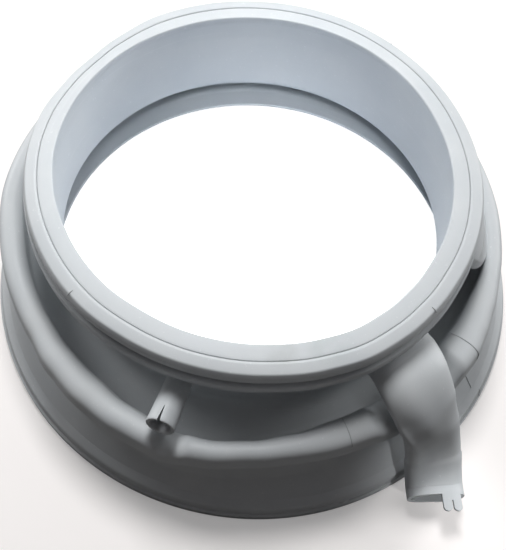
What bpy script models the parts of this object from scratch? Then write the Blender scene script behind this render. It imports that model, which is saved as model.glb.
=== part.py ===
"""Washing machine door seal: one rubber moulding that lies on its rear lip, front lip up.

Metres, +Z up. The origin is on the floor, on the axis of the rear lip. The near side is -Y.
"""

import math

import bmesh
import bpy
from mathutils import Vector

# Front lip and the bead that holds the clamp ring
OPENING_RADIUS = 0.1400
LIP_WIDTH = 0.0220
LIP_FALL = 0.0026
LIP_LINE_INSET = 0.0105
LIP_LINE_DEPTH = 0.0010
LIP_RIM_HEIGHT = 0.0090
LIP_EDGE_ROUND = 0.0012
CLAMP_GROOVE_WIDTH = 0.0032
CLAMP_GROOVE_DEPTH = 0.0055
BEAD_HEIGHT = 0.0070
BEAD_STAND_OUT = 0.0022

# Skin, neck and fold
SEAL_DEPTH = 0.1330
WALL = 0.0027
NECK_SET_BACK = 0.0045
FOLD_WIDTH = 0.0243
FOLD_BOTTOM = 0.0500
FOLD_CORNER = 0.0090

# Roll outside the fold, and the valley under it
ROLL_RADIUS = 0.0095
ROLL_HEIGHT = 0.0700
ROLL_EDGE_DROP = 0.0065
VALLEY_OUT = 0.0020
VALLEY_HEIGHT = 0.0440

# Rear lip
FLARE_OUT = 0.0135
REAR_BEAD_TOP = 0.0182
REAR_BEAD_WIDTH = 0.0090
REAR_EDGE_HEIGHT = 0.0070
FOOT_WIDTH = 0.0150
FLANGE_WIDTH = 0.0445
FLANGE_THICKNESS = 0.0030
FLANGE_RISE = 0.0055

# The front lip, neck and roll stand a little off the axis of the rear lip
FRONT_SHIFT = (-0.0060, 0.0100)
FLANGE_SHIFT = (-0.0010, 0.0090)

# The roll swells on the near side: azimuth in degrees, then the swell at its inner and its outer edge,
# as shares of the greatest
SWELL = 0.0126
SWELLS = [
    (-180, 0.14, 0.04),
    (-165, -0.08, -0.08),
    (-150, -0.08, -0.10),
    (-141, -0.02, -0.05),
    (-132, 0.10, 0.28),
    (-122, 0.24, 0.53),
    (-113, 0.56, 0.73),
    (-103, 0.86, 0.91),
    (-95, 1.00, 0.81),
    (-86, 0.83, 0.57),
    (-78, 0.57, 0.49),
    (-68, 0.29, 0.55),
    (-50, 0.00, 0.63),
    (-32, -0.06, 0.62),
    (-27, 0.02, 0.45),
    (-21, 0.12, 0.28),
    (-12, 0.30, 0.10),
    (0, 0.20, 0.04),
    (20, 0.00, 0.00),
    (160, 0.00, 0.00),
    (180, 0.14, 0.04),
]

# The crest of the roll dips under the tube and under the duct
TUBE_DIP = 0.0060
TUBE_DIP_AZIMUTH = math.radians(-102)
TUBE_DIP_HALF = math.radians(2.2)
DUCT_DIP = 0.0090
DUCT_DIP_AZIMUTH = math.radians(-49)
DUCT_DIP_HALF = math.radians(7.0)
DIP_EDGE = math.radians(3.5)

# Small inlet tube
TUBE_AZIMUTH = math.radians(-104)
TUBE_BELOW_BEAD = 0.0215
TUBE_RISE = math.radians(6)
TUBE_REACH = 0.0450
TUBE_RADIUS = 0.0096
TUBE_WALL = 0.0024
SLIT_LENGTH = 0.0100
SLIT_WIDTH = 0.0014
SLIT_TURN = math.radians(5)

# Flattened duct: its course runs outwards from the neck, over the roll and down past the rear lip
DUCT_AZIMUTH = math.radians(-49)
DUCT_THICKNESS = 0.0210
DUCT_WALL = 0.0025
DUCT_BELOW_BEAD = 0.0060
DUCT_END_HEIGHT = 0.0160
DUCT_END_WIDTH = 0.0390
DUCT_RUN = 0.0600
DUCT_FLATNESS = 2.7
SLEEVE_STEP = 0.0008
SLEEVE_START = 5.4
CREASE_DEPTH = 0.0035
CREASE_SPREAD = 0.55
CREASE_START = math.radians(18)
CREASE_TURN = math.radians(62)

# The duct's course past the roll's middle, station by station: shares of the run outwards, of the run
# sideways, of the fall, of the end's width added, and of the crease's depth
DUCT_COURSE = [
    (0.017, 0.033, 0.03, 0.282, 0.5),
    (0.267, 0.042, 0.20, 0.244, 1.0),
    (0.450, 0.025, 0.44, 0.167, 1.0),
    (0.583, 0.033, 0.67, 0.064, 1.0),
    (0.733, 0.083, 0.87, 0.013, 0.6),
    (0.880, 0.157, 0.991, 0.000, 0.1),
    (1.010, 0.242, 1.000, 0.000, 0.0),
]
DUCT_ROOT_SIDEWAYS = -0.025
DUCT_ROOT_WIDER = 0.32
NUDGE = 0.1

# What is cut from the duct's mouth to leave the fingers
FINGER_LENGTH = 0.0125
MOUTH_RIM = 0.0006
FINGERS_WIDTH = 0.0137
FINGERS_OFFSET = 0.0087
FINGER_GAP = 0.0012
FINGER_GAP_DEPTH = 0.0075

# Web that joins the roll to the bead on the right flank
WEB_START = math.radians(-20)
WEB_SPAN = math.radians(37)
WEB_SKEW = math.radians(12.7)
WEB_THICKNESS = 0.0032
WEB_MEETS_ROLL = math.radians(125)
WEB_ROOT = math.radians(150)
WEB_HOLLOW = 0.005

# How finely the shapes are divided
RING_STEPS = 76
CROWDING = 0.3
DUCT_SIDES = 20
TUBE_SIDES = 24
WEB_STEPS = 8
WEB_BANDS = 4

# Radii and heights that follow from the sizes above
LIP_RADIUS = OPENING_RADIUS + LIP_WIDTH
NECK_INSIDE = OPENING_RADIUS + NECK_SET_BACK
NECK_OUTSIDE = NECK_INSIDE + WALL
BEAD_RADIUS = LIP_RADIUS + BEAD_STAND_OUT
BEAD_BOTTOM = SEAL_DEPTH - LIP_FALL - LIP_RIM_HEIGHT - CLAMP_GROOVE_WIDTH - BEAD_HEIGHT
FOLD_OUTSIDE = NECK_OUTSIDE + FOLD_WIDTH
ROLL_CENTRE = FOLD_OUTSIDE + ROLL_RADIUS
ROLL_EDGE = ROLL_CENTRE + ROLL_RADIUS
VALLEY_RADIUS = ROLL_CENTRE + VALLEY_OUT
REAR_BEAD_RADIUS = VALLEY_RADIUS + FLARE_OUT
REAR_RADIUS = REAR_BEAD_RADIUS + REAR_BEAD_WIDTH
FLANGE_RADIUS = REAR_RADIUS - FLANGE_WIDTH
DUCT_HEIGHT = BEAD_BOTTOM - DUCT_BELOW_BEAD - DUCT_THICKNESS / 2


def clear_scene():
    for obj in list(bpy.data.objects):
        bpy.data.objects.remove(obj, do_unlink=True)


def new_collection(name):
    collection = bpy.data.collections.new(name)
    bpy.context.scene.collection.children.link(collection)
    return collection


def rubber():
    material = bpy.data.materials.new("grey_rubber")
    material.use_nodes = True
    shader = material.node_tree.nodes["Principled BSDF"]
    shader.inputs["Base Color"].default_value = (0.58, 0.605, 0.625, 1)
    shader.inputs["Roughness"].default_value = 0.55
    shader.inputs["Metallic"].default_value = 0
    return material


def smooth(share):
    share = min(max(share, 0), 1)
    return share * share * (3 - 2 * share)


def arc(centre, radius, start, end, count):
    """Points on an arc in the section's (radius, height) plane, angles in degrees, both ends included."""
    points = []
    for i in range(count):
        angle = math.radians(start + (end - start) * i / (count - 1))
        points.append((centre[0] + radius * math.cos(angle), centre[1] + radius * math.sin(angle)))
    return points


def front_lip_points():
    """The lip's face, from its inner edge outwards, its rim, the clamp groove and the bead."""
    line = LIP_RADIUS - LIP_LINE_INSET
    line_height = SEAL_DEPTH - LIP_FALL * (line - OPENING_RADIUS) / LIP_WIDTH
    rim_top = SEAL_DEPTH - LIP_FALL
    rim_bottom = rim_top - LIP_RIM_HEIGHT
    bead_top = rim_bottom - CLAMP_GROOVE_WIDTH
    edge = LIP_EDGE_ROUND
    return [
        (OPENING_RADIUS, SEAL_DEPTH - edge),
        (OPENING_RADIUS + edge, SEAL_DEPTH),
        (line - LIP_LINE_DEPTH, line_height),
        (line, line_height - LIP_LINE_DEPTH),
        (line + LIP_LINE_DEPTH, line_height),
        (LIP_RADIUS - edge, rim_top),
        (LIP_RADIUS, rim_top - edge),
        (LIP_RADIUS, rim_bottom),
        (LIP_RADIUS - CLAMP_GROOVE_DEPTH, rim_bottom),
        (LIP_RADIUS - CLAMP_GROOVE_DEPTH, bead_top),
        (BEAD_RADIUS - edge, bead_top),
        (BEAD_RADIUS, bead_top - edge),
        (BEAD_RADIUS, BEAD_BOTTOM + edge),
        (BEAD_RADIUS - edge, BEAD_BOTTOM),
        (NECK_OUTSIDE, BEAD_BOTTOM - WALL),
    ]


def outer_points():
    """The side of the skin that faces outwards, from the lip's inner edge to the heel of the foot."""
    fold_heart = FOLD_BOTTOM + FOLD_CORNER
    roll = (ROLL_CENTRE, ROLL_HEIGHT)
    bead = (REAR_BEAD_RADIUS, REAR_BEAD_TOP)
    points = front_lip_points()
    points += arc((NECK_OUTSIDE + FOLD_CORNER, fold_heart), FOLD_CORNER, 180, 270, 3)
    points += arc((FOLD_OUTSIDE - FOLD_CORNER, fold_heart), FOLD_CORNER, 270, 360, 3)
    points += arc(roll, ROLL_RADIUS, 180, 15, 7)
    points += [
        (ROLL_EDGE, ROLL_HEIGHT - ROLL_EDGE_DROP),
        (VALLEY_RADIUS + WALL / 2, ROLL_HEIGHT - ROLL_RADIUS - WALL / 2),
        (VALLEY_RADIUS, VALLEY_HEIGHT),
        (VALLEY_RADIUS + FLARE_OUT / 4, (VALLEY_HEIGHT + REAR_BEAD_TOP) / 2),
        bead,
        (REAR_BEAD_RADIUS + REAR_BEAD_WIDTH / 2, REAR_BEAD_TOP - REAR_BEAD_WIDTH / 4),
        (REAR_RADIUS - LIP_EDGE_ROUND, REAR_EDGE_HEIGHT + LIP_EDGE_ROUND),
        (REAR_RADIUS, REAR_EDGE_HEIGHT),
        (REAR_RADIUS, LIP_EDGE_ROUND),
        (REAR_RADIUS - LIP_EDGE_ROUND, 0),
    ]
    return points


def inner_points():
    """The side of the skin that faces the drum, from the heel of the foot back up to the lip."""
    fold_heart = FOLD_BOTTOM + FOLD_CORNER
    roll = (ROLL_CENTRE, ROLL_HEIGHT)
    corner = FOLD_CORNER + WALL
    valley = VALLEY_RADIUS - WALL
    heel = REAR_RADIUS - FOOT_WIDTH
    flange_top = FLANGE_THICKNESS + FLANGE_RISE
    points = [
        (heel, 0),
        (FLANGE_RADIUS + LIP_EDGE_ROUND, FLANGE_RISE),
        (FLANGE_RADIUS, FLANGE_RISE + FLANGE_THICKNESS / 2),
        (FLANGE_RADIUS + LIP_EDGE_ROUND, flange_top),
        (heel, FLANGE_THICKNESS),
        (REAR_BEAD_RADIUS, FLANGE_THICKNESS),
        (REAR_RADIUS - 2 * WALL, REAR_EDGE_HEIGHT),
        (REAR_BEAD_RADIUS, REAR_BEAD_TOP - 1.4 * WALL),
        (valley + FLARE_OUT / 4, (VALLEY_HEIGHT + REAR_BEAD_TOP) / 2 - WALL / 2),
        (valley, VALLEY_HEIGHT),
        (valley, ROLL_HEIGHT - ROLL_RADIUS),
        (ROLL_EDGE - 1.5 * WALL, ROLL_HEIGHT - ROLL_EDGE_DROP + WALL),
    ]
    points += arc(roll, ROLL_RADIUS - WALL, 15, 180, 6)
    points += arc((FOLD_OUTSIDE - FOLD_CORNER, fold_heart), corner, 0, -90, 3)
    points += arc((NECK_OUTSIDE + FOLD_CORNER, fold_heart), corner, 270, 180, 3)
    points += [
        (NECK_INSIDE, BEAD_BOTTOM),
        (OPENING_RADIUS + LIP_EDGE_ROUND, SEAL_DEPTH - LIP_EDGE_ROUND - WALL),
    ]
    return points


def angle_from(azimuth, centre):
    return math.remainder(azimuth - centre, math.tau)


def window(azimuth, centre, half):
    """1 within half of the centre, falling softly to 0 over the edge of a dip."""
    return smooth((half + DIP_EDGE - abs(angle_from(azimuth, centre))) / DIP_EDGE)


def swell(azimuth, radius):
    """How far the roll stands out here: the table's rows, softly joined, across from edge to edge."""
    degrees = math.degrees(angle_from(azimuth, 0))
    outer = min(max((radius - FOLD_OUTSIDE) / (ROLL_EDGE - FOLD_OUTSIDE), 0), 1)
    for (start, in_1, out_1), (end, in_2, out_2) in zip(SWELLS, SWELLS[1:]):
        if start <= degrees <= end:
            share = smooth((degrees - start) / (end - start))
            here = (in_1 + (in_2 - in_1) * share) * (1 - outer) + (out_1 + (out_2 - out_1) * share) * outer
            return SWELL * here
    return 0


def settle(radius, azimuth, height):
    """Where a point of the evenly turned section lies on the real seal, which isn't quite round."""
    on_roll = smooth((radius - NECK_OUTSIDE) / FOLD_WIDTH) if height < BEAD_BOTTOM - WALL else 0
    at_rear = smooth((VALLEY_HEIGHT - height) / (VALLEY_HEIGHT - REAR_BEAD_TOP))
    on_flange = smooth((REAR_RADIUS - FOOT_WIDTH - radius) / (FLANGE_WIDTH - FOOT_WIDTH)) * at_rear
    on_crest = on_roll * smooth((height - VALLEY_HEIGHT) / (ROLL_HEIGHT - VALLEY_HEIGHT))
    radius += swell(azimuth, radius) * on_roll * (1 - at_rear)
    height -= on_crest * TUBE_DIP * window(azimuth, TUBE_DIP_AZIMUTH, TUBE_DIP_HALF)
    height -= on_crest * DUCT_DIP * window(azimuth, DUCT_DIP_AZIMUTH, DUCT_DIP_HALF)
    x = radius * math.cos(azimuth) + FRONT_SHIFT[0] * (1 - at_rear) + FLANGE_SHIFT[0] * on_flange
    y = radius * math.sin(azimuth) + FRONT_SHIFT[1] * (1 - at_rear) + FLANGE_SHIFT[1] * on_flange
    return Vector((x, y, height))


def turned(name, points, steps, span, collection):
    """A closed section turned about Z with the Screw modifier, and made a mesh."""
    mesh = bpy.data.meshes.new(name + "_section")
    edges = [(i, (i + 1) % len(points)) for i in range(len(points))]
    mesh.from_pydata([(r, 0, z) for r, z in points], edges, [])
    profile = bpy.data.objects.new(name + "_section", mesh)
    collection.objects.link(profile)
    screw = profile.modifiers.new("turn", "SCREW")
    screw.axis = "Z"
    screw.angle = span
    screw.steps = screw.render_steps = steps
    screw.use_merge_vertices = span == math.tau
    screw.merge_threshold = 0.00001
    graph = bpy.context.evaluated_depsgraph_get()
    solid = bpy.data.meshes.new_from_object(profile.evaluated_get(graph))
    solid.name = name
    bpy.data.objects.remove(profile, do_unlink=True)
    return solid


def moulded_ring(name, collection):
    """The seal without its tube, duct and web."""
    mesh = turned(name, outer_points() + inner_points(), RING_STEPS, math.tau, collection)
    for vertex in mesh.vertices:
        x, y, z = vertex.co
        turn = math.atan2(y, x)
        azimuth = turn - CROWDING * math.sin(turn - DUCT_DIP_AZIMUTH)
        vertex.co = settle(math.hypot(x, y), azimuth, z)
    obj = bpy.data.objects.new(name, mesh)
    collection.objects.link(obj)
    return obj


def outwards(azimuth):
    return Vector((math.cos(azimuth), math.sin(azimuth), 0))


def front_axis(height):
    """The point of the front lip's axis at this height."""
    return Vector((FRONT_SHIFT[0], FRONT_SHIFT[1], height))


def rod(name, start, end, radius, collection):
    """A round bar between two points, from a curve with a bevel, made a closed mesh."""
    curve = bpy.data.curves.new(name, "CURVE")
    curve.dimensions = "3D"
    curve.bevel_depth = radius
    curve.bevel_resolution = TUBE_SIDES // 4 - 2 + TUBE_SIDES // 4
    curve.use_fill_caps = True
    spline = curve.splines.new("POLY")
    spline.points.add(1)
    for point, place in zip(spline.points, (start, end)):
        point.co = (*place, 1)
    guide = bpy.data.objects.new(name + "_guide", curve)
    collection.objects.link(guide)
    graph = bpy.context.evaluated_depsgraph_get()
    mesh = bpy.data.meshes.new_from_object(guide.evaluated_get(graph))
    bm = bmesh.new()
    bm.from_mesh(mesh)
    bmesh.ops.remove_doubles(bm, verts=bm.verts, dist=0.00001)
    bmesh.ops.recalc_face_normals(bm, faces=bm.faces)
    bm.to_mesh(mesh)
    bm.free()
    obj = bpy.data.objects.new(name, mesh)
    obj.matrix_world = guide.matrix_world
    collection.objects.link(obj)
    bpy.data.objects.remove(guide, do_unlink=True)
    return obj


def box(name, centre, axes, size, collection):
    """A box whose sides lie along three given axes."""
    bm = bmesh.new()
    bmesh.ops.create_cube(bm, size=1)
    for vertex in bm.verts:
        vertex.co = centre + sum((axis * s * c for axis, s, c in zip(axes, size, vertex.co)), Vector())
    bm.normal_update()
    bmesh.ops.recalc_face_normals(bm, faces=bm.faces)
    mesh = bpy.data.meshes.new(name)
    bm.to_mesh(mesh)
    bm.free()
    obj = bpy.data.objects.new(name, mesh)
    collection.objects.link(obj)
    return obj


def tube_line():
    """Where the small tube leaves the middle of the neck's wall, and its direction."""
    out = outwards(TUBE_AZIMUTH)
    direction = out * math.cos(TUBE_RISE) + Vector((0, 0, math.sin(TUBE_RISE)))
    root = front_axis(BEAD_BOTTOM - TUBE_BELOW_BEAD) + out * (NECK_INSIDE + WALL / 2)
    return root, direction


def small_tube(collection):
    root, direction = tube_line()
    return rod("inlet_tube", root, root + direction * TUBE_REACH, TUBE_RADIUS, collection)


def tube_cutters(collection):
    """The tube's bore, through the neck's wall, and the slit in the top of its mouth."""
    root, direction = tube_line()
    mouth = root + direction * TUBE_REACH
    spare = 4 * WALL
    bore = rod("tube_bore", root - direction * spare, mouth + direction * spare,
               TUBE_RADIUS - TUBE_WALL, collection)
    across = direction.cross(Vector((0, 0, 1))).normalized()
    above = across.cross(direction)
    side = above * math.cos(SLIT_TURN) + across * math.sin(SLIT_TURN)
    slit = box("tube_slit", mouth + side * TUBE_RADIUS, (direction, side.cross(direction), side),
               (2 * SLIT_LENGTH, SLIT_WIDTH, 4 * TUBE_WALL), collection)
    return [bore, slit]


def duct_course():
    """Stations of the duct's middle line: place, width and how deep its crease is."""
    out = outwards(DUCT_AZIMUTH)
    aside = outwards(DUCT_AZIMUTH - math.pi / 2)
    roots = [((radius - ROLL_CENTRE) / DUCT_RUN, DUCT_ROOT_SIDEWAYS, 0, DUCT_ROOT_WIDER, 0)
             for radius in (NECK_INSIDE + WALL / 2, BEAD_RADIUS)]
    course = []
    for run, sideways, fallen, wider, crease in roots + DUCT_COURSE:
        height = DUCT_HEIGHT + (DUCT_END_HEIGHT - DUCT_HEIGHT) * fallen
        place = front_axis(height) + out * (ROLL_CENTRE + run * DUCT_RUN) + aside * sideways * DUCT_RUN
        course.append((place, DUCT_END_WIDTH * (1 + wider), crease * CREASE_DEPTH))
    return course


def between(course, step):
    """The course at a fractional station number, on a smooth curve through its stations."""
    last = len(course) - 1
    i = min(int(step), last - 1)
    t = step - i
    before, here, there, after = (course[min(max(k, 0), last)] for k in (i - 1, i, i + 1, i + 2))
    weights = (-t + 2 * t**2 - t**3, 2 - 5 * t**2 + 3 * t**3, t + 4 * t**2 - 3 * t**3, t**3 - t**2)
    four = (before, here, there, after)
    place = sum((stop[0] * weight / 2 for stop, weight in zip(four, weights)), Vector())
    width, crease = (sum(stop[k] * weight / 2 for stop, weight in zip(four, weights)) for k in (1, 2))
    return place, width, max(crease, 0)


def duct_section(place, forward, width, thickness, crease, slant):
    """A flattened oval across the duct, with a crease that crosses from its left side to its top."""
    across = Vector((0, 0, 1)).cross(forward).normalized()
    above = forward.cross(across)
    points = []
    for k in range(DUCT_SIDES):
        angle = math.tau * (k + 0.5) / DUCT_SIDES
        c, s = math.cos(angle), math.sin(angle)
        a = math.copysign(abs(c) ** (2 / DUCT_FLATNESS), c) * width / 2
        b = math.copysign(abs(s) ** (2 / DUCT_FLATNESS), s) * thickness / 2
        left = (angle - math.pi + slant) / CREASE_SPREAD
        b -= crease * math.exp(-left * left)
        points.append(place + across * a + above * b)
    return points


def loft(name, sections, collection):
    """Joins equal rings of points into a closed solid, with a fan over each end."""
    bm = bmesh.new()
    rings = [[bm.verts.new(point) for point in section] for section in sections]
    count = len(rings[0])
    for near, far in zip(rings, rings[1:]):
        for k in range(count):
            bm.faces.new((near[k], near[(k + 1) % count], far[(k + 1) % count], far[k]))
    for ring in (rings[0], rings[-1]):
        bmesh.ops.poke(bm, faces=[bm.faces.new(ring)])
    bmesh.ops.recalc_face_normals(bm, faces=bm.faces)
    mesh = bpy.data.meshes.new(name)
    bm.to_mesh(mesh)
    bm.free()
    obj = bpy.data.objects.new(name, mesh)
    collection.objects.link(obj)
    return obj


def duct_sections(inset, start_radius, reach):
    """Sections of the duct set in by a wall thickness, from a radius on the neck to past its mouth."""
    course = duct_course()
    last = len(course) - 1
    steps = [1, 1.5, 2, 2.5, 3, 3.5, 4, 4.5, 5, SLEEVE_START, SLEEVE_START + 0.05, 6, 6.6, 7.2, last]
    out = outwards(DUCT_AZIMUTH)
    sections = []
    for step in steps:
        place, width, crease = between(course, step)
        ahead = between(course, min(step + NUDGE, last))[0]
        behind = between(course, max(step - NUDGE, 0))[0]
        sleeve = SLEEVE_STEP if step > SLEEVE_START else 0
        slant = CREASE_START + CREASE_TURN * smooth((step - 2) / (SLEEVE_START - 2))
        sections.append(duct_section(place, (ahead - behind).normalized(), width + 2 * (sleeve - inset),
                                     DUCT_THICKNESS + 2 * (sleeve - inset), crease, slant))
    root = []
    for point in sections[0]:
        flat = point - front_axis(point.z)
        side = flat - out * flat.dot(out)
        root.append(front_axis(point.z) + side + out * math.sqrt(start_radius**2 - side.length**2))
    forward = (ahead - behind).normalized()
    tip = [point + forward * reach for point in sections[-1]]
    return [root] + sections + [tip]


def duct(collection):
    return loft("duct", duct_sections(0, NECK_INSIDE + WALL / 2, FINGER_LENGTH), collection)


def duct_cutters(collection):
    """The duct's bore, through the neck's wall, and what is cut from its end to leave two fingers."""
    bore = loft("duct_bore", duct_sections(DUCT_WALL, NECK_INSIDE - 4 * WALL, 2 * FINGER_LENGTH), collection)
    course = duct_course()
    last = len(course) - 1
    mouth = course[-1][0]
    forward = (mouth - between(course, last - NUDGE)[0]).normalized()
    across = Vector((0, 0, 1)).cross(forward).normalized()
    above = forward.cross(across)
    axes = (forward, across, above)
    long = 2 * FINGER_LENGTH
    wide = DUCT_END_WIDTH * 3 / 4
    tall = 2 * DUCT_THICKNESS
    ahead = mouth + forward * (MOUTH_RIM + long / 2)
    middle = ahead + across * FINGERS_OFFSET
    beside = across * (FINGERS_WIDTH + wide) / 2
    under = middle + forward * MOUTH_RIM / 2 - above * tall / 2
    gap = middle + forward * (FINGER_LENGTH - FINGER_GAP_DEPTH - MOUTH_RIM)
    return [
        bore,
        box("left_of_fingers", middle - beside, axes, (long, wide, tall), collection),
        box("right_of_fingers", middle + beside, axes, (long, wide, tall), collection),
        box("under_fingers", under, axes, (long, FINGERS_WIDTH + 2 * FINGER_GAP, tall), collection),
        box("finger_gap", gap, axes, (long, FINGER_GAP, tall), collection),
    ]


def web(collection):
    """A skin from the lip's rim down to the roll, which closes the top of the fold on the right flank."""
    rim = Vector((LIP_RADIUS - LIP_EDGE_ROUND, SEAL_DEPTH - LIP_FALL - LIP_RIM_HEIGHT / 3))
    roll = Vector((ROLL_CENTRE, ROLL_HEIGHT))
    foot = roll + Vector((math.cos(WEB_MEETS_ROLL), math.sin(WEB_MEETS_ROLL))) * (ROLL_RADIUS - WALL / 4)
    root = roll + Vector((math.cos(WEB_ROOT), math.sin(WEB_ROOT))) * (ROLL_RADIUS - WALL / 2)
    down = (foot - rim).normalized()
    inward = Vector((down.y, -down.x))
    hollow = rim.lerp(foot, 0.8) + inward * WEB_HOLLOW
    shares = [k / WEB_BANDS for k in range(WEB_BANDS + 1)]
    outer = [rim.lerp(hollow, t).lerp(hollow.lerp(foot, t), t) for t in shares]
    points = outer + [root] + [point + inward * WEB_THICKNESS for point in outer[-2::-1]]
    mesh = turned("web", points, WEB_STEPS, WEB_SPAN, collection)
    bm = bmesh.new()
    bm.from_mesh(mesh)
    bm.verts.ensure_lookup_table()
    count = len(points)
    for end in (0, count * WEB_STEPS):
        for k in range(WEB_BANDS):
            corners = (k, k + 1, count - 2 - k, count - 1 - k)
            bm.faces.new([bm.verts[end + corner] for corner in corners])
    for vertex in bm.verts:
        x, y, z = vertex.co
        radius = math.hypot(x, y)
        azimuth = math.atan2(y, x) + WEB_START + WEB_SKEW * (radius - rim.x) / (foot.x - rim.x)
        vertex.co = settle(radius, azimuth, z)
    bmesh.ops.recalc_face_normals(bm, faces=bm.faces)
    bm.to_mesh(mesh)
    bm.free()
    obj = bpy.data.objects.new("web", mesh)
    collection.objects.link(obj)
    return obj


def combine(target, operation, others, collection):
    """One exact Boolean with all the others at once, which leaves no slivers between them."""
    for other in others:
        other.hide_render = True
        other.display_type = "WIRE"
        collection.objects.link(other)
    boolean = target.modifiers.new(collection.name, "BOOLEAN")
    boolean.operation = operation
    boolean.solver = "EXACT"
    boolean.operand_type = "COLLECTION"
    boolean.collection = collection


def build():
    clear_scene()
    parts = new_collection("washing_machine_door_seal")
    cutters = new_collection("cutters")
    seal = moulded_ring("door_seal", parts)
    joined = [web(cutters), small_tube(cutters), duct(cutters)]
    combine(seal, "UNION", joined, new_collection("joined_on"))
    cut_away = tube_cutters(cutters) + duct_cutters(cutters)
    combine(seal, "DIFFERENCE", cut_away, new_collection("cut_away"))
    seal.data.materials.clear()
    seal.data.materials.append(rubber())
    seal.data.shade_smooth()
    seal.data.set_sharp_from_angle(angle=math.radians(35))
    return seal


build()
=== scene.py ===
"""Washing machine door seal: one grey rubber moulding on a pale studio floor.

Metres, +Z up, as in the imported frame. Profiles are in millimetres, as (radius, height) round the front
lip's axis. The near side is -Y. The seal lies on its rear lip, front lip up.
"""

import math

import bmesh
import bpy
from mathutils import Matrix, Vector


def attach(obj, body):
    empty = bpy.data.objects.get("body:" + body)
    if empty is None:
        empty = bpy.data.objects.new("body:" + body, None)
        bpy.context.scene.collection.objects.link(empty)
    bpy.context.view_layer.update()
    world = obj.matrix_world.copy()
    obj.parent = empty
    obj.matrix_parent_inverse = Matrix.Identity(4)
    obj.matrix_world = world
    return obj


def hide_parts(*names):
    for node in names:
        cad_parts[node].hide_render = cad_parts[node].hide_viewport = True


MM = 0.001

# The front lip, neck and roll stand a little off the rear lip's axis, and the flange inside it does too
FRONT_SHIFT = Vector((-6.0, 10.0, 0.0)) * MM
FLANGE_SHIFT = Vector((-1.0, 9.0, 0.0)) * MM

# Levels and radii that the pieces share, in millimetres
LIP_TOP = 133.0
LIP_INSIDE = 140.0
LIP_OUTSIDE = 162.0
NECK_INSIDE = 144.5
NECK_OUTSIDE = 147.2
NECK_MIDDLE = 145.9
BORE_START = 136.0
BEAD_BOTTOM = 111.2
FOLD_OUTSIDE = 171.5
ROLL_EDGE = 190.5
ROLL_TOP = 79.5
ROLL_CENTRE = (181.0, 70.0)
VALLEY_LEVEL = 44.0
REAR_CREST = 18.2
TURNS = 360

# Corners of the skin, each with its rounding: the outer side from the lip's inner edge to the foot
LIP_SIDE = [
    (140.0, 131.0, 0.0),
    (140.1, 133.0, 0.9),
    (149.6, 132.1, 0.5),
    (151.0, 131.9, 0.3),
    (151.5, 130.9, 0.3),
    (152.1, 132.2, 0.3),
    (153.6, 132.3, 1.0),
    (160.4, 131.0, 2.0),
    (162.1, 127.4, 3.0),
    (162.2, 122.2, 0.5),
    (161.2, 121.4, 0.3),
    (156.6, 121.4, 0.4),
    (156.6, 118.2, 0.4),
    (164.0, 118.0, 1.1),
    (164.2, 111.4, 1.2),
    (156.0, 109.6, 3.0),
    (147.2, 106.5, 3.0),
    (147.2, 98.0, 0.0),
    (147.2, 90.0, 0.0),
]
OUTER_SIDE = LIP_SIDE + [
    (147.2, 50.0, 9.0),
    (171.5, 50.0, 9.0),
    (171.5, 79.5, 9.0),
    (189.0, 79.5, 8.5),
    (190.6, 63.6, 0.5),
    (184.2, 59.0, 2.5),
    (183.0, 44.0, 8.0),
    (186.6, 31.0, 10.0),
    (196.4, 18.6, 1.6),
    (202.4, 15.4, 3.0),
    (203.8, 9.2, 0.5),
    (202.9, 8.3, 0.3),
    (205.4, 6.6, 0.8),
    (205.4, 0.8, 0.6),
    (204.4, 0.0, 0.3),
]

# The inner side, from the foot back up to the lip
INNER_SIDE = [
    (190.4, 0.0, 2.0),
    (162.4, 5.5, 0.8),
    (160.9, 7.0, 0.8),
    (162.0, 8.5, 0.8),
    (190.4, 3.2, 2.0),
    (200.0, 3.4, 2.0),
    (200.4, 7.0, 1.0),
    (196.2, 14.2, 2.0),
    (183.8, 29.8, 8.0),
    (180.3, 44.0, 8.0),
    (180.3, 60.4, 3.0),
    (187.0, 66.4, 2.0),
    (187.6, 76.8, 6.0),
    (174.2, 76.8, 6.5),
    (174.2, 47.3, 11.0),
    (144.5, 47.3, 11.0),
    (144.4, 108.0, 6.0),
    (142.6, 125.5, 4.0),
    (140.0, 129.6, 0.8),
]

# How the lip wanders off its circle: azimuth in degrees, shift of its inner and of its outer edge
LIP_DRIFT = [
    (-180, 1.6, -0.3),
    (-165, 0.9, -0.3),
    (-150, 0.0, -0.3),
    (-130, -0.2, 0.0),
    (-117, -1.1, -0.9),
    (-100, -0.5, -0.8),
    (-85, 0.0, -0.3),
    (-70, 1.0, 0.9),
    (-60, 1.9, 2.0),
    (-50, 1.1, 1.3),
    (-40, 0.1, 0.4),
    (-28, -0.9, -0.5),
    (0, -1.4, -1.0),
    (20, -1.8, -1.5),
    (45, -0.9, -1.5),
    (70, -0.2, -0.5),
    (100, 0.0, 0.0),
    (122, 0.2, -0.4),
    (138, 1.0, -3.6),
    (147, 1.0, -4.8),
    (157, 1.2, -3.4),
    (170, 1.4, -0.8),
    (180, 1.6, -0.3),
]

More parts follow.
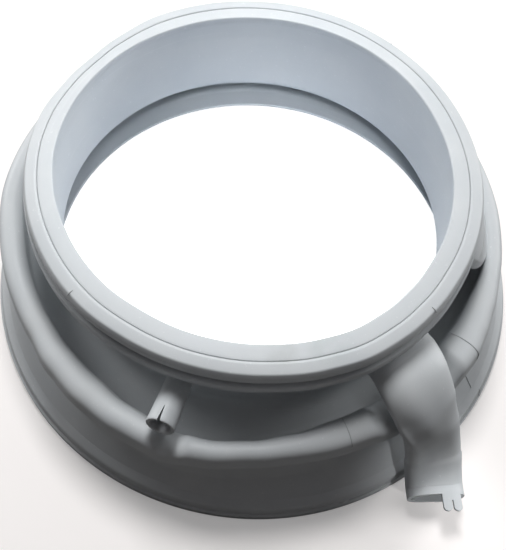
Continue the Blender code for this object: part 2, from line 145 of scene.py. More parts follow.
# How the roll swells on the near side: azimuth, then the swell at its inner and at its outer edge
ROLL_SWELL = [
    (-180, 1.8, 0.5),
    (-165, -1.0, -1.0),
    (-150, -1.0, -1.3),
    (-141, -0.3, -0.6),
    (-132, 1.3, 3.5),
    (-122, 3.0, 6.7),
    (-113, 7.1, 9.2),
    (-103, 10.8, 11.5),
    (-95, 12.6, 10.2),
    (-86, 10.5, 7.2),
    (-78, 7.2, 6.2),
    (-68, 3.7, 6.9),
    (-50, 0.0, 8.0),
    (-32, -0.8, 7.8),
    (-27, 0.3, 5.7),
    (-21, 1.5, 3.5),
    (-12, 3.8, 1.3),
    (0, 2.5, 0.5),
    (20, 0.0, 0.0),
    (160, 0.0, 0.0),
    (180, 1.8, 0.5),
]

# Dips of the roll's crest, under the tube and under the duct: azimuth, half width and depth
ROLL_DIPS = [(-102.4, 1.6, 5.6, 2.6), (-49.0, 8.5, 9.5, 4.0)]

# Fine ribs that the mould left: azimuth, radius and height where each begins and ends, width, height,
# and how much painted shade darkens them
MOULD_RIBS = [
    (-32.0, (172.5, 77.0), (190.4, 65.0), 0.9, 0.35, 0.35),
    (-29.6, (186.3, 33.0), (196.4, 18.9), 0.9, 0.35, 0.35),
    (-28.4, (201.5, 15.8), (205.2, 7.4), 0.9, 0.35, 0.35),
    (-66.2, (173.5, 78.0), (190.0, 68.0), 0.8, 0.3, 0.35),
    (-40.2, (157.6, 131.6), (161.9, 130.0), 1.2, 0.55, 0.45),
    (-134.0, (157.4, 131.6), (161.9, 130.0), 1.1, 0.45, 0.55),
]

# Small pips on the lip's face: azimuth and radius
MOULD_PIPS = [(139.0, 158.2), (53.0, 160.0)]

# Small inlet tube
TUBE_AZIMUTH = math.radians(-104)
TUBE_RISE = math.radians(6)
TUBE_ROOT_LEVEL = 89.7
TUBE_REACH = 45.0
TUBE_BORE = 7.2

# Web that closes the fold on the right flank
WEB_START = math.radians(-20)
WEB_SPAN = math.radians(37)
WEB_SKEW = math.radians(12.7)
WEB_THICKNESS = 3.2
WEB_MEETS_ROLL = math.radians(125)
WEB_ROOT = math.radians(150)

# Flattened duct
DUCT_AZIMUTH = math.radians(-49)
DUCT_THICKNESS = 21.0
DUCT_WALL = 2.5
DUCT_FLATNESS = 2.7
FINGERS = [(1.85, 8.1), (9.3, 15.55)]
FINGER_TIP = 9.8
FINGER_ROUND = 2.6
FINGER_REACH = 12.5
SLEEVE_START = 5.4
SLEEVE_STEP = 0.8
CREASE_DEPTH = 3.5


# Worn, dull patches on the near lip: centre, reach and colour
SMUDGES = [
    ((0.0187, -0.1332, 0.1325), 0.014, (0.36, 0.38, 0.37, 1)),
    ((0.0495, -0.1254, 0.1325), 0.018, (0.34, 0.41, 0.39, 1)),
]


def smooth(share):
    share = min(max(share, 0.0), 1.0)
    return share * share * (3 - 2 * share)


def turn_from(azimuth, centre):
    """Angle from a centre, in degrees between -180 and 180."""
    return math.degrees(math.remainder(azimuth - math.radians(centre), math.tau))


def along_table(table, azimuth, column):
    """A value of a table that runs round the seal, softly joined from row to row."""
    degrees = turn_from(azimuth, 0)
    for here, there in zip(table, table[1:]):
        if here[0] <= degrees <= there[0]:
            share = smooth((degrees - here[0]) / (there[0] - here[0]))
            return here[column] + (there[column] - here[column]) * share
    return table[0][column]


def rounded(corners):
    """Corners of an open line, each (x, y, rounding), with an arc put in at each rounding."""
    points = []
    for i, (x, y, rounding) in enumerate(corners):
        here = Vector((x, y))
        if rounding == 0 or i in (0, len(corners) - 1):
            points.append(here)
            continue
        before = Vector(corners[i - 1][:2]) - here
        after = Vector(corners[i + 1][:2]) - here
        half = before.angle(after) / 2
        reach = min(rounding / math.tan(half), before.length * 0.49, after.length * 0.49)
        radius = reach * math.tan(half)
        middle = here + (before.normalized() + after.normalized()).normalized() * radius / math.sin(half)
        start = (here + before.normalized() * reach - middle).normalized()
        end = (here + after.normalized() * reach - middle).normalized()
        count = max(2, math.ceil((math.pi - 2 * half) / math.radians(16)))
        for k in range(count + 1):
            points.append(middle + start.slerp(end, k / count) * radius)
    return points


def settle(radius, azimuth, height):
    """Where a point of the evenly turned section, in millimetres, lies on the real seal, in metres."""
    at_lip = smooth((height - 104.0) / 8.0)
    across_lip = (radius - LIP_INSIDE) / (LIP_OUTSIDE - LIP_INSIDE)
    drift = along_table(LIP_DRIFT, azimuth, 1) * (1 - across_lip)
    drift += along_table(LIP_DRIFT, azimuth, 2) * across_lip
    on_roll = 0.0
    if height < BEAD_BOTTOM - 4:
        on_roll = smooth((radius - NECK_OUTSIDE) / (FOLD_OUTSIDE - NECK_OUTSIDE))
    at_rear = smooth((VALLEY_LEVEL - height) / (VALLEY_LEVEL - REAR_CREST))
    on_flange = smooth((190.4 - radius) / 29.2) * at_rear
    across_roll = min(max((radius - FOLD_OUTSIDE) / (ROLL_EDGE - FOLD_OUTSIDE), 0), 1)
    inner = along_table(ROLL_SWELL, azimuth, 1)
    outer = along_table(ROLL_SWELL, azimuth, 2)
    swell = inner + (outer - inner) * across_roll
    moved = radius + drift * at_lip + swell * on_roll * (1 - at_rear)
    sunk = 0.0
    for centre, half, depth, edge in ROLL_DIPS:
        window = smooth((half + edge - abs(turn_from(azimuth, centre))) / edge)
        sunk += depth * window * on_roll * smooth((height - VALLEY_LEVEL) / (ROLL_TOP - VALLEY_LEVEL))
    shift = FRONT_SHIFT * (1 - at_rear) + FLANGE_SHIFT * on_flange
    place = Vector((math.cos(azimuth), math.sin(azimuth), 0)) * moved * MM + shift
    place.z = (height - sunk) * MM
    return place


def painted_shade(radius, height):
    """Painted shade: how much darker a thin crease of the skin is drawn, the same all round the seal."""
    if radius < 161.5 and 118 < height < 121.6:
        return 0.4
    if 151.1 < radius < 151.9 and 130 < height < 131.6:
        return 0.35
    if 202.6 < radius < 203.2 and 8 < height < 8.8:
        return 0.4
    return 0


def new_piece(name):
    """A single point in edit mode, ready to be extruded."""
    bpy.ops.object.select_all(action="DESELECT")
    bpy.ops.mesh.primitive_plane_add(size=MM)
    piece = bpy.context.object
    piece.name = piece.data.name = name
    bpy.ops.object.mode_set(mode="EDIT")
    bpy.ops.mesh.select_all(action="SELECT")
    bpy.ops.mesh.merge(type="CENTER")
    return piece


def trace(points):
    """Extrudes the selected point along a line."""
    bpy.ops.transform.translate(value=points[0])
    for near, far in zip(points, points[1:]):
        bpy.ops.mesh.extrude_region_move(TRANSFORM_OT_translate={"value": far - near})


def tidy(piece):
    """Merges doubles, turns all faces outwards and leaves edit mode."""
    bpy.ops.mesh.select_all(action="SELECT")
    bpy.ops.mesh.remove_doubles(threshold=0.000005)
    bpy.ops.mesh.normals_make_consistent(inside=False)
    bpy.ops.object.mode_set(mode="OBJECT")
    return piece


def turned_body():
    """The round skin of the seal: its section is drawn, spun, and settled into the real outline."""
    section = rounded(OUTER_SIDE + INNER_SIDE)
    points = [Vector((x * MM, 0, y * MM)) for x, y in section]
    piece = new_piece("door_seal_body")
    trace(points + points[:1])
    bpy.ops.mesh.select_all(action="SELECT")
    bpy.ops.mesh.remove_doubles(threshold=0.000005)
    bpy.ops.mesh.select_all(action="SELECT")
    bpy.ops.mesh.spin(steps=TURNS, angle=math.tau, center=(0, 0, 0), axis=(0, 0, 1))
    tidy(piece)
    # Painted shade for the thin creases, stored on each point
    tone = piece.data.attributes.new("painted_shade", "FLOAT", "POINT")
    for vertex in piece.data.vertices:
        x, y, z = vertex.co
        here = (math.hypot(x, y) / MM, math.atan2(y, x), z / MM)
        tone.data[vertex.index].value = painted_shade(here[0], here[2])
        vertex.co = settle(*here)
    return piece


def front_axis(level):
    return FRONT_SHIFT + Vector((0, 0, level * MM))


def outwards(azimuth):
    return Vector((math.cos(azimuth), math.sin(azimuth), 0))


def loft(name, rings, closed=True):
    """A skin over rings of points, with a flat fan at each end if it is closed."""
    bm = bmesh.new()
    made = [[bm.verts.new(point) for point in ring] for ring in rings]
    count = len(made[0])
    for near, far in zip(made, made[1:]):
        for k in range(count):
            bm.faces.new((near[k], near[(k + 1) % count], far[(k + 1) % count], far[k]))
    if closed:
        bmesh.ops.poke(bm, faces=[bm.faces.new(made[0]), bm.faces.new(made[-1])])
    bmesh.ops.recalc_face_normals(bm, faces=bm.faces)
    mesh = bpy.data.meshes.new(name)
    bm.to_mesh(mesh)
    bm.free()
    piece = bpy.data.objects.new(name, mesh)
    bpy.context.scene.collection.objects.link(piece)
    return piece


def apply_boolean(piece, operation, others):
    """Joins or cuts a piece with others, which are then removed."""
    for other in others:
        step = piece.modifiers.new(other.name, "BOOLEAN")
        step.operation = operation
        step.solver = "EXACT"
        step.object = other
        bpy.ops.object.select_all(action="DESELECT")
        bpy.context.view_layer.objects.active = piece
        piece.select_set(True)
        bpy.ops.object.modifier_apply(modifier=step.name)
    for other in others:
        bpy.data.objects.remove(other, do_unlink=True)


def tube_line():
    out = outwards(TUBE_AZIMUTH)
    direction = out * math.cos(TUBE_RISE) + Vector((0, 0, math.sin(TUBE_RISE)))
    root = front_axis(TUBE_ROOT_LEVEL) + out * (NECK_INSIDE + NECK_OUTSIDE) / 2 * MM
    return root, direction


def tube_rings(line, sides=64):
    """Rings round the tube's line: each is (distance from the root, radius), in millimetres."""
    root, direction = tube_line()
    across = direction.cross(Vector((0, 0, 1))).normalized()
    above = across.cross(direction)
    rings = []
    for distance, radius in line:
        middle = root + direction * distance * MM
        rings.append([middle + (across * math.cos(t) + above * math.sin(t)) * radius * MM
                      for t in (math.tau * k / sides for k in range(sides))])
    return rings


def inlet_tube():
    """The short tube, a little flared at its mouth, with a slit in the top of it."""
    outside = [(0, 8.7), (12, 8.8), (24, 9.1), (36, 9.5), (42, 9.8)]
    outside += [(TUBE_REACH - 0.7, 9.9), (TUBE_REACH, 9.5)]
    inside = [(TUBE_REACH, 7.9), (TUBE_REACH - 1.0, 7.3), (38, 7.2), (20, 7.0), (-1.3, 6.9)]
    tube = loft("inlet_tube", tube_rings(outside + inside), closed=False)
    root, direction = tube_line()
    bm = bmesh.new()
    bm.from_mesh(tube.data)
    rims = [edge for edge in bm.edges if edge.is_boundary]
    bmesh.ops.bridge_loops(bm, edges=rims)
    bmesh.ops.recalc_face_normals(bm, faces=bm.faces)
    bm.to_mesh(tube.data)
    bm.free()
    across = direction.cross(Vector((0, 0, 1))).normalized()
    above = across.cross(direction)
    lean = math.radians(6)
    side = above * math.cos(lean) + across * math.sin(lean)
    wide = side.cross(direction)
    mouth = root + direction * TUBE_REACH * MM
    corners = [(-11.0, 0.15), (2.0, 1.1)]
    rings = []
    for distance, half in corners:
        middle = mouth + direction * distance * MM
        rings.append([middle + (wide * half * a + side * h) * MM
                      for a, h in ((-1, 5.0), (1, 5.0), (1, 12.0), (-1, 12.0))])
    slit = loft("tube_slit", rings)
    apply_boolean(tube, "DIFFERENCE", [slit])
    return tube


def tube_bore():
    return loft("tube_bore", tube_rings([(-14, TUBE_BORE), (12, TUBE_BORE)]))


def duct_course():
    """Stations of the duct's middle line: place, width, depth of its crease."""
    out = outwards(DUCT_AZIMUTH)
    aside = outwards(DUCT_AZIMUTH - math.pi / 2)
    # radius from the front axis, sideways, height, width, crease
    stations = [
        (145.9, -1.5, 94.6, 51.5, 0.0),
        (164.2, -1.5, 94.6, 51.5, 0.0),
        (182.0, 2.0, 92.2, 50.0, 0.5),
        (197.0, 2.5, 78.9, 48.5, 1.0),
        (208.0, 1.5, 60.0, 45.5, 1.0),
        (216.0, 2.0, 41.9, 41.5, 1.0),
        (225.0, 5.0, 26.2, 39.5, 0.6),
        (233.8, 9.4, 16.7, 39.0, 0.1),
        (241.6, 14.5, 16.0, 39.0, 0.0),
    ]
    return [(FRONT_SHIFT + (out * radius + aside * sideways + Vector((0, 0, height))) * MM, width, crease)
            for radius, sideways, height, width, crease in stations]


def between(course, step):
    """The course at a fractional station, on a smooth curve through the stations."""
    last = len(course) - 1
    i = min(int(step), last - 1)
    t = step - i
    stops = [course[min(max(k, 0), last)] for k in (i - 1, i, i + 1, i + 2)]
    weights = (-t + 2 * t**2 - t**3, 2 - 5 * t**2 + 3 * t**3, t + 4 * t**2 - 3 * t**3, t**3 - t**2)
    place = sum((stop[0] * weight / 2 for stop, weight in zip(stops, weights)), Vector())
    width, crease = (sum(stop[k] * weight / 2 for stop, weight in zip(stops, weights)) for k in (1, 2))
    return place, width, max(crease, 0)


def duct_rings(inset, start, reach, sides=96, steps=72):
    """Flattened oval rings along the duct, set in by a wall, from a radius on the neck to its mouth."""
    course = duct_course()
    last = len(course) - 1
    out = outwards(DUCT_AZIMUTH)
    rings = []
    for n in range(steps + 1):
        step = 1 + (last - 1) * n / steps
        place, width, crease = between(course, step)
        ahead = between(course, min(step + 0.1, last))[0]
        behind = between(course, max(step - 0.1, 0))[0]
        forward = (ahead - behind).normalized()
        across = Vector((0, 0, 1)).cross(forward).normalized()
        above = forward.cross(across)
        sleeve = SLEEVE_STEP * smooth((step - SLEEVE_START) / 0.06)
        half_width = width / 2 + sleeve - inset
        half_height = DUCT_THICKNESS / 2 + sleeve - inset
        slant = math.radians(18 + 62 * smooth((step - 2) / (SLEEVE_START - 2)))
        ring = []
        for k in range(sides):
            angle = math.tau * (k + 0.5) / sides
            c, s = math.cos(angle), math.sin(angle)
            a = math.copysign(abs(c) ** (2 / DUCT_FLATNESS), c) * half_width
            b = math.copysign(abs(s) ** (2 / DUCT_FLATNESS), s) * half_height
            left = math.remainder(angle - math.pi + slant, math.tau) / 0.55
            b -= crease * CREASE_DEPTH * math.exp(-left * left)
            ring.append(place + (across * a + above * b) * MM)
        rings.append(ring)
    root = []
    for point in rings[0]:
        flat = point - front_axis(point.z / MM)
        side = flat - out * flat.dot(out)
        root.append(front_axis(point.z / MM) + side + out * math.sqrt((start * MM) ** 2 - side.length**2))
    tip = [point + forward * reach * MM for point in rings[-1]]
    return [root] + rings + [tip]


def side_duct():
    """The flattened duct, open at its mouth, where two short fingers stand out."""
    duct = loft("side_duct", duct_rings(0, NECK_MIDDLE, FINGER_REACH))
    bore = loft("duct_hollow", duct_rings(DUCT_WALL, BORE_START, 2 * FINGER_REACH))
    apply_boolean(duct, "DIFFERENCE", [bore])
    course = duct_course()
    last = len(course) - 1
    mouth = course[-1][0]
    forward = (mouth - between(course, last - 0.1)[0]).normalized()
    across = Vector((0, 0, 1)).cross(forward).normalized()
    above = forward.cross(across)

    def prism(name, outline, low, high):
        """A block whose outline runs along and across the duct, between two heights over its middle."""
        rings = []
        for b in (low, high):
            rings.append([mouth + (forward * distance + across * a + above * b) * MM
                          for distance, a in outline])
        return loft(name, rings)

    def block(name, near, left, right, low, high):
        return prism(name, [(near, left), (30, left), (30, right), (near, right)], low, high)

    tips = [(30, 0.9), (FINGER_TIP, 0.9)]
    for left, right in FINGERS:
        for k in range(13):
            turn = math.pi * k / 12
            sideways = (left + right) / 2 - (right - left) / 2 * math.cos(turn)
            tips.append((FINGER_TIP + FINGER_ROUND * math.sin(turn), sideways))
    tips += [(FINGER_TIP, 16.5), (30, 16.5)]
    apply_boolean(duct, "DIFFERENCE", [
        block("left_of_fingers", 0.6, -40, FINGERS[0][0], -40, 40),
        block("right_of_fingers", 0.6, FINGERS[1][1], 50, -40, 40),
        block("under_fingers", 0.9, 0.5, 17, -40, 0),
        block("finger_gap", 5.0, FINGERS[0][1], FINGERS[1][0], -40, 40),
        prism("finger_tips", tips, -40, 40),
    ])
    return duct


def duct_bore():
    rings = duct_rings(DUCT_WALL, BORE_START, 0.0)
    return loft("duct_bore", rings[:6])


def corner_web():
    """The skin from the lip's rim down to the roll, which closes the fold on the right flank."""
    rows = 56
    bands = 24
    rim = Vector((160.8, 127.4))
    foot = Vector(ROLL_CENTRE) + Vector((math.cos(WEB_MEETS_ROLL), math.sin(WEB_MEETS_ROLL))) * 9.0
    root = Vector(ROLL_CENTRE) + Vector((math.cos(WEB_ROOT), math.sin(WEB_ROOT))) * 8.6
    down = (foot - rim).normalized()
    inward = Vector((down.y, -down.x))
    hollow = rim.lerp(foot, 0.8) + inward * 5.0
    line = []
    for k in range(bands + 1):
        t = k / bands
        line.append(rim.lerp(hollow, t).lerp(hollow.lerp(foot, t), t))
    rings = []
    for n in range(-3, rows + 4):
        along = min(max(n, 0), rows) / rows
        beyond = max(-n, n - rows, 0)
        round_off = 1 - math.sqrt(max(1 - (beyond / 3) ** 2, 0))
        thickness = WEB_THICKNESS * (1 - 0.9 * round_off)
        turn = WEB_START + WEB_SPAN * along + math.copysign(beyond, n) * 0.0022
        outer = [point + inward * (WEB_THICKNESS - thickness) / 2 for point in line]
        inner = [point + inward * (WEB_THICKNESS + thickness) / 2 for point in reversed(line[:-1])]
        ring = []
        for point in outer + [root] + inner:
            azimuth = turn + WEB_SKEW * (point.x - rim.x) / (foot.x - rim.x)
            ring.append(settle(point.x, azimuth, point.y))
        rings.append(ring)
    return loft("corner_web", rings)


def mould_rib(name, azimuth, start, end, width, height, tone):
    """A fine rib along the outer skin at one azimuth, which fades out at both ends."""
    azimuth = math.radians(azimuth)
    section = rounded(OUTER_SIDE)
    first = min(range(len(section)), key=lambda k: (section[k] - Vector(start)).length)
    last = min(range(len(section)), key=lambda k: (section[k] - Vector(end)).length)
    path = [Vector(start)] + section[first + 1:last] + [Vector(end)]
    rings = []
    for k, point in enumerate(path):
        ahead = path[min(k + 1, len(path) - 1)] - path[max(k - 1, 0)]
        normal = Vector((-ahead.y, ahead.x)).normalized()
        full = math.sin(math.pi * (0.06 + 0.88 * k / (len(path) - 1))) ** 0.4
        ring = []
        top = height * full
        for aside, lift in ((-0.5, -0.15), (-0.22, top), (0.22, top), (0.5, -0.15), (0, -0.6)):
            place = point + normal * lift
            ring.append(settle(place.x, azimuth + aside * width * full / place.x, place.y))
        rings.append(ring)
    # The rib carries painted shade: it is drawn darker than the skin by the given amount
    return with_painted_shade(loft(name, rings), tone)


def with_painted_shade(piece, amount):
    """Paints one even shade on a whole piece: painted shade that darkens it."""
    tone = piece.data.attributes.new("painted_shade", "FLOAT", "POINT")
    for entry in tone.data:
        entry.value = amount
    return piece


def mould_pip(name, azimuth, radius):
    """A small flat pimple on the lip's face."""
    azimuth = math.radians(azimuth)
    rings = []
    for size, lift in ((0.75, -0.5), (0.7, 0.15), (0.5, 0.4), (0.2, 0.5)):
        ring = []
        for k in range(16):
            turn = math.tau * k / 16
            ring.append(settle(radius + size * math.cos(turn), azimuth + size * math.sin(turn) / radius,
                               132.0 - (radius - 153.6) * 0.2 * (radius > 153.6) + lift))
        rings.append(ring)
    return loft(name, rings)


def mould_marks():
    """All ribs and pips in one piece."""
    marks = [mould_rib("mould_rib", *row) for row in MOULD_RIBS]
    # The pips carry a little painted shade as well
    marks += [with_painted_shade(mould_pip("mould_pip", *row), 0.2) for row in MOULD_PIPS]
    bpy.ops.object.select_all(action="DESELECT")
    for mark in marks:
        mark.select_set(True)
    bpy.context.view_layer.objects.active = marks[0]
    bpy.ops.object.join()
    marks[0].name = marks[0].data.name = "mould_marks"
    return marks[0]


def shade(piece, degrees):
    bpy.ops.object.select_all(action="DESELECT")
    piece.select_set(True)
    bpy.context.view_layer.objects.active = piece
    bpy.ops.object.shade_smooth_by_angle(angle=math.radians(degrees))


def node(tree, kind, **values):
    made = tree.nodes.new(kind)
    for name, value in values.items():
        setattr(made, name, value)
    return made


def bloom_group():
    """Rubber's surface: soft pale bloom, fine grain, faint rings from the mould, and specks of dust."""
    tree = bpy.data.node_groups.new("rubber_bloom", "ShaderNodeTree")
    face = tree.interface
    face.new_socket("Position", in_out="INPUT", socket_type="NodeSocketVector")
    for name in ("Patch size", "Grain size", "Ring size"):
        face.new_socket(name, in_out="INPUT", socket_type="NodeSocketFloat")
    for name in ("Bloom", "Grain", "Rings", "Specks"):
        face.new_socket(name, in_out="OUTPUT", socket_type="NodeSocketFloat")
    links = tree.links
    entry = node(tree, "NodeGroupInput")
    leave = node(tree, "NodeGroupOutput")

    def noise(scale, detail, roughness=0.5):
        made = node(tree, "ShaderNodeTexNoise")
        made.inputs["Detail"].default_value = detail
        made.inputs["Roughness"].default_value = roughness
        if isinstance(scale, str):
            links.new(entry.outputs[scale], made.inputs["Scale"])
        else:
            made.inputs["Scale"].default_value = scale
        return made

    def stretch(value, low, high):
        made = node(tree, "ShaderNodeMapRange")
        made.inputs["From Min"].default_value = low
        made.inputs["From Max"].default_value = high
        links.new(value, made.inputs["Value"])
        return made.outputs["Result"]

    patches = noise("Patch size", 4, 0.6)
    grain = noise("Grain size", 3, 0.6)
    dust = noise(420, 1)
    for texture in (patches, grain, dust):
        links.new(entry.outputs["Position"], texture.inputs["Vector"])
    split = node(tree, "ShaderNodeSeparateXYZ")
    links.new(entry.outputs["Position"], split.inputs["Vector"])
    flat = node(tree, "ShaderNodeCombineXYZ")
    links.new(split.outputs["X"], flat.inputs["X"])
    links.new(split.outputs["Y"], flat.inputs["Y"])
    away = node(tree, "ShaderNodeVectorMath", operation="LENGTH")
    links.new(flat.outputs["Vector"], away.inputs[0])
    across = node(tree, "ShaderNodeMath", operation="ADD")
    links.new(away.outputs["Value"], across.inputs[0])
    links.new(split.outputs["Z"], across.inputs[1])
    fine = node(tree, "ShaderNodeMath", operation="MULTIPLY")
    links.new(across.outputs["Value"], fine.inputs[0])
    links.new(entry.outputs["Ring size"], fine.inputs[1])
    rings = node(tree, "ShaderNodeTexNoise", noise_dimensions="4D")
    rings.inputs["Scale"].default_value = 6
    rings.inputs["Detail"].default_value = 2
    links.new(flat.outputs["Vector"], rings.inputs["Vector"])
    links.new(fine.outputs["Value"], rings.inputs["W"])
    links.new(stretch(patches.outputs["Fac"], 0.33, 0.68), leave.inputs["Bloom"])
    links.new(grain.outputs["Fac"], leave.inputs["Grain"])
    links.new(stretch(rings.outputs["Fac"], 0.3, 0.35), leave.inputs["Rings"])
    links.new(stretch(dust.outputs["Fac"], 0.72, 0.76), leave.inputs["Specks"])
    return tree


def grey_rubber(bloom):
    material = bpy.data.materials.new("grey_rubber")
    material.use_nodes = True
    tree = material.node_tree
    links = tree.links
    shader = tree.nodes["Principled BSDF"]
    shader.inputs["Specular IOR Level"].default_value = 0.35
    place = node(tree, "ShaderNodeTexCoord")
    effect = node(tree, "ShaderNodeGroup", node_tree=bloom)
    effect.inputs["Patch size"].default_value = 22
    effect.inputs["Grain size"].default_value = 900
    effect.inputs["Ring size"].default_value = 60
    links.new(place.outputs["Object"], effect.inputs["Position"])

    def blend(factor, first, second):
        """Mixes two colours, each a plain value or another node's output."""
        made = node(tree, "ShaderNodeMix", data_type="RGBA")
        links.new(factor, made.inputs["Factor"])
        for socket, colour in (("A", first), ("B", second)):
            if isinstance(colour, tuple):
                made.inputs[socket].default_value = colour
            else:
                links.new(colour, made.inputs[socket])
        return made.outputs["Result"]

    def scaled(value, low, high):
        made = node(tree, "ShaderNodeMapRange")
        made.inputs["To Min"].default_value = low
        made.inputs["To Max"].default_value = high
        links.new(value, made.inputs["Value"])
        return made.outputs["Result"]

    tint = blend(effect.outputs["Bloom"], (0.55, 0.578, 0.6, 1), (0.61, 0.632, 0.645, 1))
    tint = blend(scaled(effect.outputs["Rings"], 0, 0.3), tint, (0.52, 0.55, 0.565, 1))
    tint = blend(scaled(effect.outputs["Specks"], 0, 0.35), tint, (0.75, 0.76, 0.77, 1))
    for centre, reach, colour in SMUDGES:
        apart = node(tree, "ShaderNodeVectorMath", operation="DISTANCE")
        apart.inputs[1].default_value = centre
        links.new(place.outputs["Object"], apart.inputs[0])
        near = node(tree, "ShaderNodeMapRange", interpolation_type="SMOOTHSTEP")
        near.inputs["From Min"].default_value = reach
        near.inputs["From Max"].default_value = reach * 0.4
        links.new(apart.outputs["Value"], near.inputs["Value"])
        cloud = node(tree, "ShaderNodeTexNoise")
        cloud.inputs["Scale"].default_value = 70
        cloud.inputs["Detail"].default_value = 4
        links.new(place.outputs["Object"], cloud.inputs["Vector"])
        patchy = node(tree, "ShaderNodeMapRange")
        patchy.inputs["From Min"].default_value = 0.3
        patchy.inputs["From Max"].default_value = 0.72
        links.new(cloud.outputs["Fac"], patchy.inputs["Value"])
        worn = node(tree, "ShaderNodeMath", operation="MULTIPLY")
        links.new(near.outputs["Result"], worn.inputs[0])
        links.new(patchy.outputs["Result"], worn.inputs[1])
        tint = blend(scaled(worn.outputs["Value"], 0, 0.4), tint, colour)
    # Painted shade: the creases of the skin, the mould ribs and the pips are darkened towards near black by
    # the value each point holds
    hollow = node(tree, "ShaderNodeAttribute", attribute_name="painted_shade")
    tint = blend(scaled(hollow.outputs["Fac"], 0, 0.9), tint, (0.045, 0.046, 0.048, 1))
    links.new(tint, shader.inputs["Base Color"])
    links.new(scaled(effect.outputs["Bloom"], 0.44, 0.58), shader.inputs["Roughness"])
    relief = node(tree, "ShaderNodeMath", operation="ADD")
    links.new(effect.outputs["Grain"], relief.inputs[0])
    links.new(scaled(effect.outputs["Rings"], 0, 0.5), relief.inputs[1])
    bump = node(tree, "ShaderNodeBump")
    bump.inputs["Strength"].default_value = 0.25
    bump.inputs["Distance"].default_value = 0.0002
    links.new(relief.outputs["Value"], bump.inputs["Height"])
    links.new(bump.outputs["Normal"], shader.inputs["Normal"])
    return material


def soft_lamp(name, place, aim, size, power, colour=(1, 1, 1), spread=180):
    """A round soft lamp that looks at a point."""
    lamp = bpy.data.lights.new(name, "AREA")
    lamp.shape = "DISK"
    lamp.size = size
    lamp.energy = power
    lamp.color = colour
    lamp.spread = math.radians(spread)
    holder = bpy.data.objects.new(name, lamp)
    bpy.context.scene.collection.objects.link(holder)
    holder.location = place
    holder.rotation_euler = (Vector(aim) - Vector(place)).to_track_quat("-Z", "Y").to_euler()


def pale_floor():
    """A white floor: it keeps the seal's shadow, and throws most light back where the seal is open. For the
    camera it glows unevenly, which is painted light: fully white inside the ring, washing out the shade
    there, dim near the ring where the shadow stays, and brighter again farther out.
    """
    bpy.ops.object.select_all(action="DESELECT")
    bpy.ops.mesh.primitive_plane_add(size=14)
    floor = bpy.context.object
    floor.name = "floor"
    material = bpy.data.materials.new("studio_floor")
    material.use_nodes = True
    tree = material.node_tree
    links = tree.links
    shader = tree.nodes["Principled BSDF"]
    shader.inputs["Roughness"].default_value = 0.9
    shader.inputs["Specular IOR Level"].default_value = 0.0
    shader.inputs["Emission Color"].default_value = (1, 1, 1, 1)
    place = node(tree, "ShaderNodeTexCoord")
    away = node(tree, "ShaderNodeVectorMath", operation="LENGTH")
    links.new(place.outputs["Object"], away.inputs[0])
    open_part = node(tree, "ShaderNodeMapRange", interpolation_type="SMOOTHSTEP")
    open_part.inputs["From Min"].default_value = 0.165
    open_part.inputs["From Max"].default_value = 0.195
    open_part.inputs["To Min"].default_value = 1
    open_part.inputs["To Max"].default_value = 0
    links.new(away.outputs["Value"], open_part.inputs["Value"])
    thrown = node(tree, "ShaderNodeMix", data_type="RGBA")
    thrown.inputs["A"].default_value = (0.24, 0.235, 0.23, 1)
    thrown.inputs["B"].default_value = (0.82, 0.87, 0.95, 1)
    links.new(open_part.outputs["Result"], thrown.inputs["Factor"])
    seen = node(tree, "ShaderNodeLightPath")
    tint = node(tree, "ShaderNodeMix", data_type="RGBA")
    tint.inputs["B"].default_value = (0.8, 0.765, 0.75, 1)
    links.new(thrown.outputs["Result"], tint.inputs["A"])
    links.new(seen.outputs["Is Camera Ray"], tint.inputs["Factor"])
    links.new(tint.outputs["Result"], shader.inputs["Base Color"])
    # Painted light for the camera: full glow inside the ring, a low glow just outside it, rising again with
    # distance
    glow = node(tree, "ShaderNodeMapRange")
    glow.inputs["To Min"].default_value = 0.24
    glow.inputs["To Max"].default_value = 1.0
    links.new(open_part.outputs["Result"], glow.inputs["Value"])
    distant = node(tree, "ShaderNodeMapRange", interpolation_type="SMOOTHSTEP")
    distant.inputs["From Min"].default_value = 0.35
    distant.inputs["From Max"].default_value = 1.1
    links.new(away.outputs["Value"], distant.inputs["Value"])
    all_glow = node(tree, "ShaderNodeMath", operation="ADD", use_clamp=True)
    links.new(glow.outputs["Result"], all_glow.inputs[0])
    links.new(distant.outputs["Result"], all_glow.inputs[1])
    for_camera = node(tree, "ShaderNodeMath", operation="MULTIPLY")
    links.new(all_glow.outputs["Value"], for_camera.inputs[0])
    links.new(seen.outputs["Is Camera Ray"], for_camera.inputs[1])
    links.new(for_camera.outputs["Value"], shader.inputs["Emission Strength"])
    floor.data.materials.append(material)


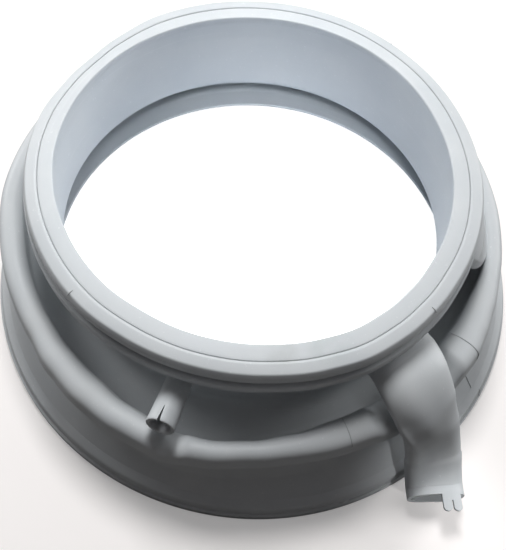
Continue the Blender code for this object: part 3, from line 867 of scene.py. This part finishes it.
def sky():
    """White where the camera sees it; for the seal, dim in front and a little lighter behind."""
    world = bpy.data.worlds.new("studio_sky")
    bpy.context.scene.world = world
    world.use_nodes = True
    tree = world.node_tree
    links = tree.links
    light = tree.nodes["Background"]
    place = node(tree, "ShaderNodeTexCoord")
    split = node(tree, "ShaderNodeSeparateXYZ")
    links.new(place.outputs["Generated"], split.inputs["Vector"])
    front = node(tree, "ShaderNodeMapRange", interpolation_type="SMOOTHSTEP")
    front.inputs["From Min"].default_value = -0.75
    front.inputs["From Max"].default_value = 0.25
    front.inputs["To Min"].default_value = 0.03
    front.inputs["To Max"].default_value = 0.22
    links.new(split.outputs["Y"], front.inputs["Value"])
    warmth = node(tree, "ShaderNodeMix", data_type="RGBA")
    warmth.inputs["A"].default_value = (1, 0.9, 0.92, 1)
    warmth.inputs["B"].default_value = (0.97, 0.99, 1, 1)
    back = node(tree, "ShaderNodeMapRange")
    back.inputs["From Min"].default_value = -0.6
    back.inputs["From Max"].default_value = 0.3
    links.new(split.outputs["Y"], back.inputs["Value"])
    links.new(back.outputs["Result"], warmth.inputs["Factor"])
    seen = node(tree, "ShaderNodeLightPath")
    tone = node(tree, "ShaderNodeMix", data_type="RGBA")
    tone.inputs["B"].default_value = (1, 1, 1, 1)
    links.new(seen.outputs["Is Camera Ray"], tone.inputs["Factor"])
    links.new(warmth.outputs["Result"], tone.inputs["A"])
    links.new(tone.outputs["Result"], light.inputs["Color"])
    level = node(tree, "ShaderNodeMix", data_type="FLOAT")
    level.inputs["B"].default_value = 1
    links.new(seen.outputs["Is Camera Ray"], level.inputs["Factor"])
    links.new(front.outputs["Result"], level.inputs["A"])
    links.new(level.outputs["Result"], light.inputs["Strength"])


def studio():
    """A pale floor, a lamp above, one behind at each side, and small ones for the inside and the duct."""
    pale_floor()
    sky()
    soft_lamp("lamp_above", (-0.1, 0.46, 1.4), (0, 0, 0.1), 0.45, 14)
    soft_lamp("lamp_left", (-1.2, 0.75, 0.6), (0, 0, 0.1), 0.6, 10)
    soft_lamp("lamp_right", (1.2, 0.75, 0.6), (0, 0, 0.1), 0.6, 10)
    soft_lamp("lamp_duct", (0.47, -0.6, 0.3), (0.18, -0.212, 0.025), 0.08, 0.009, (1, 1, 1), 9)
    soft_lamp("lamp_left_wall", (0.5, -0.25, 0.75), (-0.15, 0.03, 0.05), 0.1, 0.03, (0.93, 0.96, 1), 16)
    soft_lamp("lamp_inside", (0, -0.55, 0.95), (0, 0.155, -0.02), 0.12, 0.1, (0.9, 0.94, 1), 17)


def photo_camera():
    """The camera at the photograph's angle, for an image of 506 by 550."""
    focal = 848.108
    distance = 0.59917
    down, view_down, aim, roll = 0.92211928, 1.05463367, -0.00718292, 0.09
    towards = Vector((0, -math.cos(down), math.sin(down)))
    place = towards * distance + Vector((0, 0, LIP_TOP * MM)) + FRONT_SHIFT
    back = Vector((0, -math.cos(view_down), math.sin(view_down)))
    right = Vector((1, 0, 0))
    up = Vector((0, math.sin(view_down), math.cos(view_down)))
    back, right = math.cos(aim) * back + math.sin(aim) * right, -math.sin(aim) * back + math.cos(aim) * right
    right, up = math.cos(roll) * right + math.sin(roll) * up, -math.sin(roll) * right + math.cos(roll) * up
    camera = bpy.data.objects.new("camera", bpy.data.cameras.new("camera"))
    camera.data.lens = 36 * focal / 550
    matrix = Matrix((right, up, back)).transposed().to_4x4()
    matrix.translation = place
    camera.matrix_world = matrix
    bpy.context.scene.collection.objects.link(camera)
    bpy.context.scene.camera = camera


def dress(piece, material, degrees):
    piece.data.materials.clear()
    piece.data.materials.append(material)
    shade(piece, degrees)
    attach(piece, "root")
    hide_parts("door_seal")


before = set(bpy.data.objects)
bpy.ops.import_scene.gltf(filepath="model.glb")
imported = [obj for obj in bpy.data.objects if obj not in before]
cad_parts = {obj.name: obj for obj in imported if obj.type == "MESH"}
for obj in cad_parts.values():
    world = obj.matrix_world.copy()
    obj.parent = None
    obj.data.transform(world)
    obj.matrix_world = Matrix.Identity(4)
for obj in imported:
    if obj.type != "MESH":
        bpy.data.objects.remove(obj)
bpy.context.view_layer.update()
photo_camera()
studio()

body = turned_body()
apply_boolean(body, "DIFFERENCE", [tube_bore(), duct_bore()])
rubber = grey_rubber(bloom_group())
dress(body, rubber, 40)
dress(inlet_tube(), rubber, 40)
dress(side_duct(), rubber, 40)
dress(corner_web(), rubber, 60)
dress(mould_marks(), rubber, 50)

bpy.context.scene.view_settings.view_transform = "Standard"
